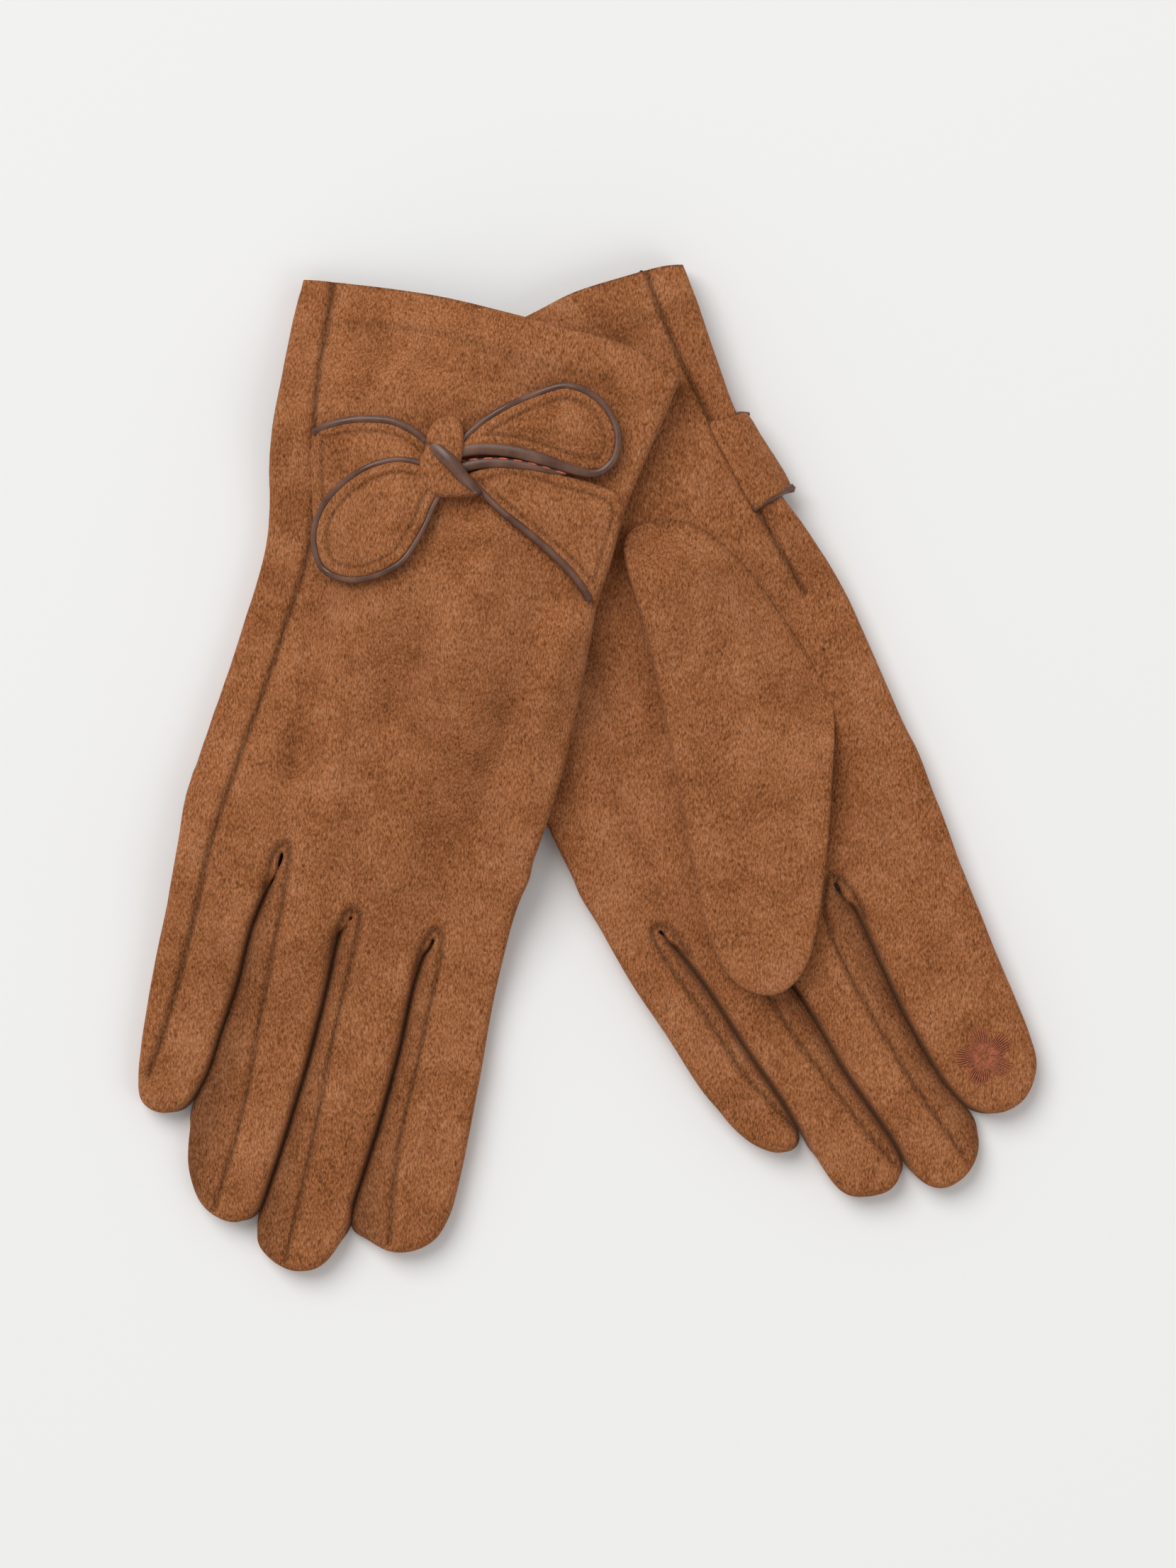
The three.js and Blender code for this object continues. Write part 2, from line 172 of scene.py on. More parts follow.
def rightRise(x, y):  # the right glove over the left one and over its own thumb
    lx, ly = fromPair("left", *toPair("right", x, y))
    out = np.hypot(np.maximum(-41 - lx, 0), np.maximum(ly - 1, 0))
    over = (leftRise(lx, ly) + cloth["thick"] + drape["between"]) * (1 - ease(out / drape["fall"]))
    along = np.clip((-y - 78) / 58, 0, 1)
    away = np.maximum(np.hypot(x - 6 + 28 * along, y + 78 + 58 * along) - 16, 0)
    return over + drape["thumbLift"] * (1 - ease(away / drape["thumbFall"]))


rises = {"left": leftRise, "right": rightRise}


def place(side, points):  # glove points (mm) to the frame, in metres
    p = np.array(points, float).reshape(-1, 3)
    up = rises[side](p[:, 0], p[:, 1])
    x, y = toPair(side, p[:, 0], p[:, 1])
    return np.stack([x, y, p[:, 2] + up], 1) * mm


def smoothed(mesh):
    for polygon in mesh.polygons:
        polygon.use_smooth = True


def meshObject(name, verts, faces, material=None):
    mesh = bpy.data.meshes.new(name)
    mesh.from_pydata([tuple(v) for v in verts], [], faces)
    mesh.update()
    obj = bpy.data.objects.new(name, mesh)
    bpy.context.scene.collection.objects.link(obj)
    if material:
        mesh.materials.append(material)
    return obj


def evaluated(obj):  # the finished mesh of an object with modifiers
    graph = bpy.context.evaluated_depsgraph_get()
    mesh = bpy.data.meshes.new_from_object(obj.evaluated_get(graph))
    obj.modifiers.clear()
    obj.data = mesh
    return obj


def slabShell(plan, low, high):  # a closed slab of a plan outline
    n = len(plan)
    verts = [(x, y, low) for x, y in plan] + [(x, y, high) for x, y in plan]
    area = sum(plan[i][0] * plan[(i + 1) % n][1] - plan[(i + 1) % n][0] * plan[i][1] for i in range(n))
    ring = list(range(n)) if area > 0 else list(range(n))[::-1]
    faces = [tuple(ring[::-1]), tuple(i + n for i in ring)]
    faces += [(ring[i], ring[(i + 1) % n], ring[(i + 1) % n] + n, ring[i] + n) for i in range(n)]
    return verts, faces


def inwards(plan, by):  # a closed outline moved in
    pts = np.array(plan)
    run = np.roll(pts, -1, 0) - np.roll(pts, 1, 0)
    area = np.sum(pts[:, 0] * np.roll(pts[:, 1], -1) - np.roll(pts[:, 0], -1) * pts[:, 1])
    out = np.stack([run[:, 1], -run[:, 0]], 1) / np.linalg.norm(run, axis=1)[:, None] * np.sign(area)
    return [tuple(p) for p in pts - out * by]


def slitX(side, k, y):  # where the gap between two fingers runs
    line = np.array(outlines[side]["slits"][k] + outlines[side]["ends"][k])[::-1]
    return np.interp(y, line[:, 1], line[:, 0])


def fingerPlans(side):  # closed outlines of the little, ring, middle and index fingers
    plan, half, root = outlines[side], cloth["gap"], -114
    plans = []
    for k, name in enumerate(("little", "ring", "middle", "index")):
        if k == 0:
            near = [p for p in plan["ulnar"] if p[1] < root]
        else:
            near = [(x + half, y) for x, y in plan["slits"][k - 1]]
        if k == 3:
            far = [p for p in plan["radial"] if p[1] < root]
        else:
            far = [(x - half, y) for x, y in plan["slits"][k]]
        inner = (near[0][0] + 7, root + 6), (far[0][0] - 7, root + 6)
        loop = [inner[0]] + near + plan["tips"][name] + far[::-1] + [inner[1]]
        plans.append([tuple(p) for p in smoothLoop(loop, 4)])
    return plans


def palmPlan(side):
    plan = outlines[side]
    low = [p for p in plan["radial"] if p[1] > -136]
    up = [p for p in plan["ulnar"] if p[1] > -130]
    forks = [slit[0] for slit in plan["slits"]][::-1]
    beyond = [(x, y + cloth["cuffTrim"]) for x, y in plan["cuff"]]
    return [tuple(p) for p in smoothLoop(beyond + low, 4, False)] + forks + \
        [tuple(p) for p in smoothLoop(up[::-1], 4, False)]


# materials
def linear(hexColour):
    values = [int(hexColour[i:i + 2], 16) / 255 for i in (1, 3, 5)]
    return tuple(v / 12.92 if v <= 0.04045 else ((v + 0.055) / 1.055) ** 2.4 for v in values) + (1,)


def addNode(tree, kind, settings=None, inputs=None):
    node = tree.nodes.new(kind)
    for key, value in (settings or {}).items():
        setattr(node, key, value)
    for key, value in (inputs or {}).items():
        if isinstance(value, bpy.types.NodeSocket):
            tree.links.new(value, node.inputs[key])
        else:
            node.inputs[key].default_value = value
    return node


def ramp(tree, fac, stops):
    node = addNode(tree, "ShaderNodeValToRGB", inputs={"Fac": fac})
    band = node.color_ramp
    while len(band.elements) < len(stops):
        band.elements.new(0.5)
    for element, (at, colour) in zip(band.elements, stops):
        element.position = at
        element.color = linear(colour) if isinstance(colour, str) else (colour, colour, colour, 1)
    return node


def newMaterial(name):  # an empty material, its tree and the object coordinates
    material = bpy.data.materials.new(name)
    material.use_nodes = True
    tree = material.node_tree
    tree.nodes.clear()
    return material, tree, addNode(tree, "ShaderNodeTexCoord").outputs["Object"]


def brushedSuede(name, dark, mid, light, lean):  # brushed microfibre: soft, matt, with short leaning pile
    material, tree, at = newMaterial(name)
    turned = addNode(tree, "ShaderNodeMapping", inputs={
        "Vector": at, "Rotation": (0, 0, math.radians(lean)), "Scale": (1, 0.4, 1)}).outputs[0]
    pile = addNode(tree, "ShaderNodeTexNoise", inputs={  # tufts about 0.7 mm across
        "Vector": turned, "Scale": 2700, "Detail": 3, "Roughness": 0.6}).outputs["Fac"]
    nap = addNode(tree, "ShaderNodeTexNoise", inputs={  # brushed patches about 12 mm across
        "Vector": at, "Scale": 90, "Detail": 4, "Roughness": 0.6, "Distortion": 0.3}).outputs["Fac"]
    fleck = addNode(tree, "ShaderNodeTexNoise", inputs={"Vector": turned, "Scale": 1900,
                                                        "Detail": 1}).outputs["Fac"]
    both = addNode(tree, "ShaderNodeMix", {"data_type": "FLOAT"}, {0: 0.3, 2: pile, 3: nap}).outputs[0]
    colour = ramp(tree, both, [(0.36, dark), (0.5, mid), (0.66, light)]).outputs[0]
    flecks = ramp(tree, fleck, [(0.30, 0.45), (0.42, 1.0)]).outputs[0]
    toned = addNode(tree, "ShaderNodeMix", {"data_type": "RGBA", "blend_type": "MULTIPLY"},
                    {0: 0.75, 6: colour, 7: flecks}).outputs[2]
    # painted shade: a per-vertex attribute darkens the suede to as little as 0.3 of its colour in seam
    # grooves, slits, folds and on low sides, standing in for shadow
    paintedShade = addNode(tree, "ShaderNodeAttribute", {"attribute_name": "paintedShade"}).outputs["Fac"]
    shade = ramp(tree, paintedShade, [(0.0, 1.0), (1.0, 0.3)]).outputs[0]
    final = addNode(tree, "ShaderNodeMix", {"data_type": "RGBA", "blend_type": "MULTIPLY"},
                    {0: 1.0, 6: toned, 7: shade}).outputs[2]
    bump = addNode(tree, "ShaderNodeBump", inputs={"Strength": 0.6, "Distance": 0.0003,
                                                   "Height": pile}).outputs[0]
    shader = addNode(tree, "ShaderNodeBsdfPrincipled", inputs={
        "Base Color": final, "Roughness": 0.93, "Specular IOR Level": 0.12, "Sheen Weight": 0.28,
        "Sheen Roughness": 0.45, "Sheen Tint": linear("#D9A27C"), "Normal": bump})
    addNode(tree, "ShaderNodeOutputMaterial", inputs={"Surface": shader.outputs[0]})
    return material


def coatedLeather(name, low, high, roughness):  # smooth polyurethane-coated leather, a soft gloss
    material, tree, at = newMaterial(name)
    grain = addNode(tree, "ShaderNodeTexVoronoi", {"feature": "DISTANCE_TO_EDGE"},
                    {"Vector": at, "Scale": 1900}).outputs["Distance"]  # grain cells about 0.5 mm
    cloud = addNode(tree, "ShaderNodeTexNoise", inputs={"Vector": at, "Scale": 180,
                                                        "Detail": 3}).outputs["Fac"]
    colour = ramp(tree, cloud, [(0.35, low), (0.68, high)]).outputs[0]
    gloss = ramp(tree, cloud, [(0.3, roughness - 0.06), (0.7, roughness + 0.1)]).outputs[0]
    bump = addNode(tree, "ShaderNodeBump", inputs={"Strength": 0.25, "Distance": 0.0001,
                                                   "Height": grain}).outputs[0]
    shader = addNode(tree, "ShaderNodeBsdfPrincipled", inputs={
        "Base Color": colour, "Roughness": gloss, "IOR": 1.5, "Normal": bump})
    addNode(tree, "ShaderNodeOutputMaterial", inputs={"Surface": shader.outputs[0]})
    return material


def sewingThread(name, low, high):  # spun polyester, matt with a slight lustre
    material, tree, at = newMaterial(name)
    ply = addNode(tree, "ShaderNodeTexNoise", inputs={"Vector": at, "Scale": 1500,
                                                      "Detail": 2}).outputs["Fac"]
    colour = ramp(tree, ply, [(0.35, low), (0.65, high)]).outputs[0]
    bump = addNode(tree, "ShaderNodeBump", inputs={"Strength": 0.4, "Distance": 0.0001,
                                                   "Height": ply}).outputs[0]
    shader = addNode(tree, "ShaderNodeBsdfPrincipled", inputs={
        "Base Color": colour, "Roughness": 0.62, "Sheen Weight": 0.2, "Normal": bump})
    addNode(tree, "ShaderNodeOutputMaterial", inputs={"Surface": shader.outputs[0]})
    return material


suede = brushedSuede("brushedSuedeCamel", "#70401F", "#9C6039", "#BC825C", -20)
pipingLeather = coatedLeather("coatedLeatherBrown", "#523325", "#74503F", 0.34)
runThread = sewingThread("runningThreadRust", "#B24A30", "#D87050")
padThread = sewingThread("conductiveThreadRust", "#8C4424", "#B4623A")
print("materials ready")


# the sewn skins
skins = {
    "right": {
        "strips": [  # (fingers on it, seam line, side of the line that the strip lies on)
            (("little", "ring"), [(-22.8, -142), (-22.4, -134.6), (-20.5, -130.4), (-18.4, -134),
                                  (-17.1, -164), (-16, -197), (-17.4, -220)], -1),
            (("ring", "middle"), [(-3.6, -154), (-3.2, -146), (-0.9, -141.8), (1.5, -146), (1.2, -170),
                                  (2.3, -206), (2.0, -228)], -1),
            (("middle", "index"), [(17.2, -155), (17.4, -147.4), (19.7, -142.4), (22.1, -147), (22.4, -169),
                                   (22.8, -196), (25.4, -218.6)], -1)],
        "edgeSeam": [(-39.4, 3.4), (-37.6, -20), (-35.4, -33), (-31.4, -49), (-30.6, -63), (-32.4, -82),
                     (-34, -99), (-36.2, -118), (-37.6, -135), (-37.6, -160), (-38.4, -179), (-40, -192)],
        "folds": [(-25.5, -68, -21, -112, 3.2, -1.3), (-14, -62, -10, -128, 6, 1.0),
                  (-2, -50, -1, -96, 4, -1.0),
                  (11, -52, 10, -132, 7, 1.1), (27, -62, 24, -118, 4.5, -1.2), (35, -66, 33, -118, 4, 0.8),
                  (-30, -10, 30, -14, 3.4, -0.5), (-20, -13, 24, -21, 5, 0.6)]},
    "left": {
        "strips": [
            (("little", "ring"), [(-24.6, -150), (-25.8, -143.6), (-28.3, -140.2), (-30.9, -144),
                                  (-27.6, -165), (-24.8, -183.6), (-19.8, -199)], 1),
            (("ring", "middle"), [(-6, -158), (-7, -150), (-9.4, -146.6), (-12, -151), (-11.4, -172),
                                  (-8.4, -190), (-4.6, -208.4), (-2.2, -217)], 1),
            (("middle", "index"), [(17.6, -160), (17.2, -152), (14.5, -147.6), (11.6, -150.6), (8.4, -158),
                                   (8, -175), (10.4, -200.7), (13.4, -222)], 1)],
        "edgeSeam": [(37.8, 1.4), (36.9, -8), (36.2, -18), (35.8, -30), (36.2, -41.5), (37.0, -60),
                     (37.6, -70), (38.6, -84)],
        "folds": [(38, -66, 42.5, -82, 2.4, -0.8), (-30, -70, -26, -128, 5, 0.7), (36, -96, 30, -140, 5, 0.8),
                  (-16, -70, -22, -126, 4, -0.8), (10, -14, 32, -12, 4, -0.5)]}}
# hem: depth, step and fade in mm; dark is painted shade along the hem line, from 0 to 1
hem = {"deep": 9.5, "step": 0.55, "fade": 2.4, "dark": 0.3, "halfWide": 33}
pressed = {  # what sewing and lying flat do to a skin: depths and widths in mm, and painted shade from 0 to 1 for the shadow in seam grooves, slits and on low sides
    "grooveDeep": 1.0, "grooveWide": 0.9, "lineShade": 0.85, "lineWide": 0.68,
    "edgeDeep": 0.8, "edgeShade": 0.95, "edgeWide": 0.75, "sideShade": 0.9,
    "stripSlope": 0.36, "stripDrop": 1.8, "foldDeep": 1.7,
    "bulk": 0.5, "bulkSize": 22, "dimple": 0.12, "dimpleSize": 6, "sway": 0.25, "swaySize": 15,
    "overTable": 0.03}
splitAt = 23  # mm along a finger where its own skin starts
fingerNames = ("index", "middle", "ring", "little")


def axisOf(finger):  # its knuckle, and its direction
    base, tip = np.array(finger["base"], float), np.array(finger["tip"], float)
    return base, (tip - base) / np.linalg.norm(tip - base)


def remeshed(name, shells, voxel, rounds):  # one rounded closed skin round several slabs
    verts, faces = [], []
    for v, f in shells:
        faces += [tuple(i + len(verts) for i in one) for one in f]
        verts += v
    obj = meshObject(name, verts, faces)
    grown = obj.modifiers.new("voxels", "REMESH")
    grown.mode = "VOXEL"
    grown.voxel_size = voxel
    soft = obj.modifiers.new("soft", "SMOOTH")
    soft.iterations = rounds
    soft.factor = 0.5
    return evaluated(obj)


def arrays(mesh):
    co = np.empty(len(mesh.vertices) * 3)
    mesh.vertices.foreach_get("co", co)
    no = np.empty(len(mesh.vertices) * 3)
    mesh.vertices.foreach_get("normal", no)
    return co.reshape(-1, 3), no.reshape(-1, 3)


def ruffle(points, size, seed):  # smooth cloth unevenness, the same each run
    return np.array([noise.noise(Vector((x / size + seed, y / size, z / size))) for x, y, z in points])


def cuffY(side, x):
    line = smoothLoop(outlines[side]["cuff"], 6, False)
    return np.interp(x, line[:, 0], line[:, 1])


def fingerOf(side, x, y):  # 0 little, 1 ring, 2 middle, 3 index
    return sum((x > slitX(side, k, y)).astype(int) for k in range(3))


def shapeSkin(side, co, no):  # puts seams, folds and hem into a rounded skin
    thick, skin = cloth["thick"], skins[side]
    finger = fingerOf(side, co[:, 0], co[:, 1])
    toSlit = np.full(len(co), 1e9)
    for k, slit in enumerate(outlines[side]["slits"]):
        gap = nearLine(co[:, 0], co[:, 1], np.array(slit[1:] + outlines[side]["ends"][k][:1], float))
        toSlit = np.minimum(toSlit, gap)
    co = co + no * cloth["plump"]
    low = 1 - ease((co[:, 2] - 2.2) / 3.2)
    beside = (1 - ease((toSlit - 1.2) / 5))[:, None]
    flatNormal = no * (1, 1, 0)
    co = co + flatNormal * beside * (cloth["skirt"] * low)[:, None]
    x, y = co[:, 0].copy(), co[:, 1].copy()
    top = ease((co[:, 2] - thick * 0.45) / (thick * 0.4))
    # painted shade: the low sides beside the slits between fingers are darkened for the shadow there
    paintedShade = pressed["sideShade"] * (1 - top) * beside[:, 0]
    dz = np.zeros(len(co))
    for ax, ay, bx, by, wide, high in skin["folds"]:
        away = nearLine(x, y, np.array([(ax, ay), (bx, by)], float))
        dz += pressed["foldDeep"] * high * np.exp(-(away / wide) ** 2)
    edge = cuffY(side, x) - y
    dz += hem["step"] * (1 - ease((edge - hem["deep"] - 2 * np.sin(x / 13)) / hem["fade"]))
    for pair, points, lean in skin["strips"]:
        away = nearLine(x, y, smoothLoop(points, 6, False))
        dz -= pressed["grooveDeep"] * np.exp(-(away / pressed["grooveWide"]) ** 2)
        # painted shade along the seam groove
        line = pressed["lineShade"] * top * np.exp(-(away / pressed["lineWide"]) ** 2)
        paintedShade = np.maximum(paintedShade, line)
        seam = np.array(points[3:], float)[::-1]
        past = (x - np.interp(y, seam[:, 1], seam[:, 0])) * lean
        owner = ("little", "ring", "middle", "index").index(pair[1] if lean < 0 else pair[0])
        near = (finger == owner) & (y < points[3][1]) & (y > points[-1][1] - 8) & (past > 0)
        dz -= np.where(near, np.minimum(pressed["stripSlope"] * past, pressed["stripDrop"]), 0)
        # painted shade on the strip sloping down under the neighbouring finger
        paintedShade = np.maximum(paintedShade, np.where(near, np.clip(0.1 + 0.06 * past, 0, 0.6) * top, 0))
    away = nearLine(x, y, smoothLoop(skin["edgeSeam"], 6, False))
    dz -= pressed["edgeDeep"] * np.exp(-(away / pressed["grooveWide"]) ** 2)
    # painted shade along the edge seam's groove
    paintedShade = np.maximum(paintedShade, pressed["edgeShade"] * top * np.exp(-(away / pressed["edgeWide"]) ** 2))
    hemLine = np.abs(edge - hem["deep"] - 0.5 * np.sin(x / 9)) + 30 * (np.abs(x) > hem["halfWide"])
    # painted shade along the hem line
    paintedShade = np.maximum(paintedShade, hem["dark"] * top * np.exp(-(hemLine / pressed["grooveWide"]) ** 2))
    bulk = pressed["bulk"] * ruffle(co, pressed["bulkSize"], 3.1)
    bulk = bulk + pressed["dimple"] * ruffle(co, pressed["dimpleSize"], 7.7)
    co[:, 2] += top * (dz + bulk)
    co[:, 0] += pressed["sway"] * ruffle(co, pressed["swaySize"], 11.3) * (edge > 4)
    co[:, 2] = np.maximum(co[:, 2], pressed["overTable"])
    return co, paintedShade, finger


def setSpots(mesh, side, co, z):  # glove points to the frame, at heights in metres
    px, py = toPair(side, co[:, 0], co[:, 1])
    mesh.vertices.foreach_set("co", np.stack([px * mm, py * mm, z], 1).ravel())
    mesh.update()


def setPaintedShade(mesh, paintedShade):  # painted shade at each vertex: how much the suede is darkened for the shadow in seams, slits, folds and on low sides
    mesh.attributes.new("paintedShade", "FLOAT", "POINT").data.foreach_set("value", paintedShade.astype(np.float32))


def takeFaces(mesh, keepFace):  # a mesh of the faces whose flag is set, with its vertex attributes
    work = bmesh.new()
    work.from_mesh(mesh)
    work.faces.ensure_lookup_table()
    gone = [f for f in work.faces if not keepFace[f.index]]
    bmesh.ops.delete(work, geom=gone, context="FACES")
    out = bpy.data.meshes.new(mesh.name)
    work.to_mesh(out)
    work.free()
    return out


def finishSkin(name, mesh, material, wall):
    obj = bpy.data.objects.new(name, mesh)
    bpy.context.scene.collection.objects.link(obj)
    mesh.materials.clear()
    mesh.materials.append(material)
    smoothed(mesh)
    if wall:
        shell = obj.modifiers.new("wall", "SOLIDIFY")
        shell.thickness = wall * mm
        shell.offset = -1
        evaluated(obj)
    return obj


def matchNormals(mesh, spots, directions):  # one unbroken shading across the cuts between pieces
    normals = np.empty((len(mesh.vertices), 3))
    for v in mesh.vertices:
        _, index, far = spots.find(v.co)
        normals[v.index] = directions[index] if far < 0.3 * mm else -directions[index]
    mesh.normals_split_custom_set_from_vertices(normals.tolist())


def blendFinger(obj, side, name):
    joint = next(j for j in frame["joints"] if j["child"] == f"{side}_{name}")
    base, d = axisOf(layouts[side]["fingers"][name])
    px, py = fromPair(side, joint["pos_m"][0] / mm, joint["pos_m"][1] / mm)
    bend = float((np.array((px, py)) - base) @ d)
    half = min(9, bend - splitAt - 0.4)
    ends = [place(side, [(*(base + d * (bend + s * half)), 0)])[0] for s in (-1, 1)]
    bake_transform(obj)


def makeSkin(side):
    thick = cloth["thick"]
    shells = [slabShell(inwards(plan, cloth["inset"]), 0.6, thick - 0.6)
              for plan in (palmPlan(side), *fingerPlans(side))]
    whole = remeshed(f"{side}Whole", shells, cloth["voxel"], cloth["rounding"])
    mesh = whole.data
    co, no = arrays(mesh)
    co, paintedShade, finger = shapeSkin(side, co, no)
    setPaintedShade(mesh, paintedShade)
    sizes = np.empty(len(mesh.polygons), int)
    mesh.polygons.foreach_get("loop_total", sizes)
    corners = np.empty(len(mesh.loops), int)
    mesh.loops.foreach_get("vertex_index", corners)
    starts = np.concatenate([[0], np.cumsum(sizes)[:-1]])
    centres = np.add.reduceat(co[corners], starts, axis=0) / sizes[:, None]
    past = co[:, 1] > cuffY(side, co[:, 0]) - 0.6
    co[past, 1] = cuffY(side, co[past, 0]) - 0.2
    mouth = np.logical_and.reduceat(past[corners], starts)
    owner = finger[corners[starts]]
    part = np.zeros(len(centres), int)
    for k, name in enumerate(("little", "ring", "middle", "index")):
        base, d = axisOf(layouts[side]["fingers"][name])
        part[(owner == k) & ((centres[:, :2] - base) @ d > splitAt)] = k + 1
    mesh.vertices.foreach_set("co", place(side, co).ravel())
    mesh.update()
    tree = BVHTree.FromPolygons([v.co.copy() for v in mesh.vertices],
                                [tuple(p.vertices) for p in mesh.polygons])
    directions = np.array([v.normal[:] for v in mesh.vertices])
    spots = KDTree(len(mesh.vertices))
    for v in mesh.vertices:
        spots.insert(v.co, v.index)
    spots.balance()
    parts = {}
    for k, name in enumerate(("hand", "little", "ring", "middle", "index")):
        piece = takeFaces(mesh, (part == k) & ~mouth)
        parts[name] = finishSkin(f"{side}Skin_{name}", piece, suede, cloth["wall"])
        matchNormals(parts[name].data, spots, directions)
    bpy.data.objects.remove(whole)
    return parts, tree


nodeNames = list(frame["nodes"])
skinTrees = {}
skinParts = {}
for side in ("right", "left"):
    skinParts[side], skinTrees[side] = makeSkin(side)
    hand = skinParts[side]["hand"]
    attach(hand, f"{side}_hand")
    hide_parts(*[n for n in nodeNames if n.startswith(f"{side}_fork") or n in
                        (f"{side}_back_panel", f"{side}_palm_panel")])
    for name in fingerNames:
        obj = skinParts[side][name]
        blendFinger(obj, side, name)
        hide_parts(*[n for n in nodeNames if n.startswith(f"{side}_{name}_") and "pad" not in n])
    print(side, "glove skin ready")


def onSkin(side, x, y, lift=0.0):  # a point on top of the skin, in metres
    px, py = toPair(side, x, y)
    hit = skinTrees[side].ray_cast(Vector((px * mm, py * mm, above)), Vector((0, 0, -1)))
    z = hit[0].z if hit[0] else (cloth["thick"] * mm)
    return Vector((px * mm, py * mm, z + lift * mm))


# the thumbs
thumbRoot = -54  # y of the line where a thumb is sewn on
thumbSkin = {  # mm: mesh and rounding, the share of thickness left at the seam, unevenness, painted shade along the seam
    "voxel": 1.0, "rounding": 8, "flat": 0.12, "bulk": 0.35, "dimple": 0.1, "seamShade": 0.45, "seamWide": 0.9}
thumbs = {"left": {"thick": 6.4, "low": 0.25, "shift": (0, 0), "length": 1.0, "sewn": 15},
          "right": {"thick": 2.7, "low": -10.9, "shift": (-14, -16), "length": 0.68, "sewn": 1}}


def makeThumb(side):
    one = thumbs[side]
    across, back = one["shift"]
    plan = [(x + across, thumbRoot + (y - thumbRoot) * one["length"] + back) for x, y in thumbPlan]
    low = cloth["thick"] + one["low"]
    slab = slabShell([tuple(p) for p in smoothLoop(plan, 6)], low, low + one["thick"])
    obj = remeshed(f"{side}Thumb", [slab], thumbSkin["voxel"], thumbSkin["rounding"])
    co, _ = arrays(obj.data)
    sewnLine = smoothLoop(plan[1:6], 6, False)
    away = nearLine(co[:, 0], co[:, 1], sewnLine)
    full = thumbSkin["flat"] + (1 - thumbSkin["flat"]) * ease(away / one["sewn"])
    co[:, 2] = low + (co[:, 2] - low) * full
    uneven = thumbSkin["bulk"] * ruffle(co, 16, 5.0) + thumbSkin["dimple"] * ruffle(co, 5, 9.0)
    co[:, 2] += uneven * ease((co[:, 2] - low) / 3)
    # painted shade along the thumb's sewn seam
    paintedShade = thumbSkin["seamShade"] * np.exp(-(away / thumbSkin["seamWide"]) ** 2)
    setPaintedShade(obj.data, paintedShade)
    obj.data.vertices.foreach_set("co", place(side, co).ravel())
    obj.data.update()
    obj.data.materials.append(suede)
    smoothed(obj.data)
    return obj


leftThumb = makeThumb("left")
hinge = next(j for j in frame["joints"] if j["child"] == "left_thumb")
hx, hy = fromPair("left", hinge["pos_m"][0] / mm, hinge["pos_m"][1] / mm)
away = place("left", [(hx - 12, hy - 22, 0)])[0]
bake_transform(leftThumb)
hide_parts("left_thumb")
rightThumb = makeThumb("right")
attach(rightThumb, "right_hand")
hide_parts("right_thumb")
print("thumbs ready")


# the bow
bow = {"right": {"puff": 1.0, "squash": 1}, "left": {"puff": 0.35, "squash": 0.4}}  # left: pressed flat
straps = {"low": 0.1, "thick": 2.2, "groove": 2.4, "puff": 0.5}
loops = {"inset": 0.8, "low": 1.6, "thick": 2.3, "groove": 2.2}
sewnPiece = {  # a turned and stitched piece of suede, in mm; its painted shade along the stitched groove and on the low sides from 0 to 1
    "voxel": 0.5, "rounding": 6, "plump": 0.3, "lineWide": 0.42, "lineDeep": 0.34, "lineShade": 0.6,
    "sideShade": 0.25, "dimple": 0.12}
knotForm = {  # mm: mesh and rounding, the crossing fold, and where the knot sits on the glove
    "voxel": 0.45, "rounding": 14, "plump": 0.9, "lean": 0.55, "foldAt": 34.2, "foldWide": 0.8,
    "foldDeep": 0.5, "dimple": 0.2, "spot": (-2, -33)}
strapPlans = {
    "tail_ulnar": [(-35.2, -33.3), (-31.6, -30.8), (-26.9, -28.8), (-21.9, -27.5), (-16.8, -27),
                   (-11.3, -28.3), (-6.6, -30.5), (-5.4, -34.8), (-12.6, -42.6), (-21.6, -50.5),
                   (-28.9, -56), (-32.4, -46.9)],
    "tail_radial": [(2.6, -35.6), (7.1, -32.3), (11.8, -30.1), (18.7, -29.6), (25.8, -30.1), (32.9, -30.5),
                    (38.4, -31.7), (41, -34.9), (41.2, -37.8), (40.7, -45.8), (40, -55.8), (38.4, -56.9),
                    (34.7, -53.8), (29.5, -50.1), (19.6, -45.1), (11.8, -41.1), (5.6, -38.3)]}
loopPlans = {
    "loop_ulnar": [(-4.6, -35.2), (-7.3, -34.9), (-12.4, -34.9), (-16.4, -36.1), (-21, -38.9),
                   (-25.3, -43.2), (-28.5, -48.2), (-29.9, -53.4), (-29.4, -58.5), (-26.9, -63.2),
                   (-23.7, -65), (-19.3, -65.4), (-15.2, -64.3), (-10.6, -61.5), (-7.1, -57.7),
                   (-4.5, -50.1), (-3.3, -43.8), (-2, -39)],
    "loop_radial": [(-0.6, -28.4), (1.5, -24.7), (4.5, -21), (8.8, -16.9), (14, -12.9), (19.3, -9.7),
                    (22.6, -9), (26.2, -9.4), (30.1, -11.1), (33.2, -13.9), (35.4, -17.4), (36.2, -21.5),
                    (35.4, -25), (33, -27.3), (28.8, -28), (23.4, -27.5), (16.3, -26.7), (10.2, -26.9),
                    (5.2, -27.8), (0.4, -30)]}
knotPlans = [
    ([(-7.8, -33.5), (-7.5, -36.3), (-6, -39.1), (-2.8, -40.7), (1, -40), (4.8, -38.9), (6, -38.3),
      (3.6, -36.9), (0.6, -34.5), (-3.5, -31.9), (-6.7, -31.6)], 0.6, 4.6),
    ([(-6.5, -33.3), (-7.6, -28.3), (-6.8, -25.2), (-4.9, -23.4), (-2.7, -23.2), (-1, -25.8), (-0.2, -30),
      (-0.8, -34.5)], 1.0, 5.0)]
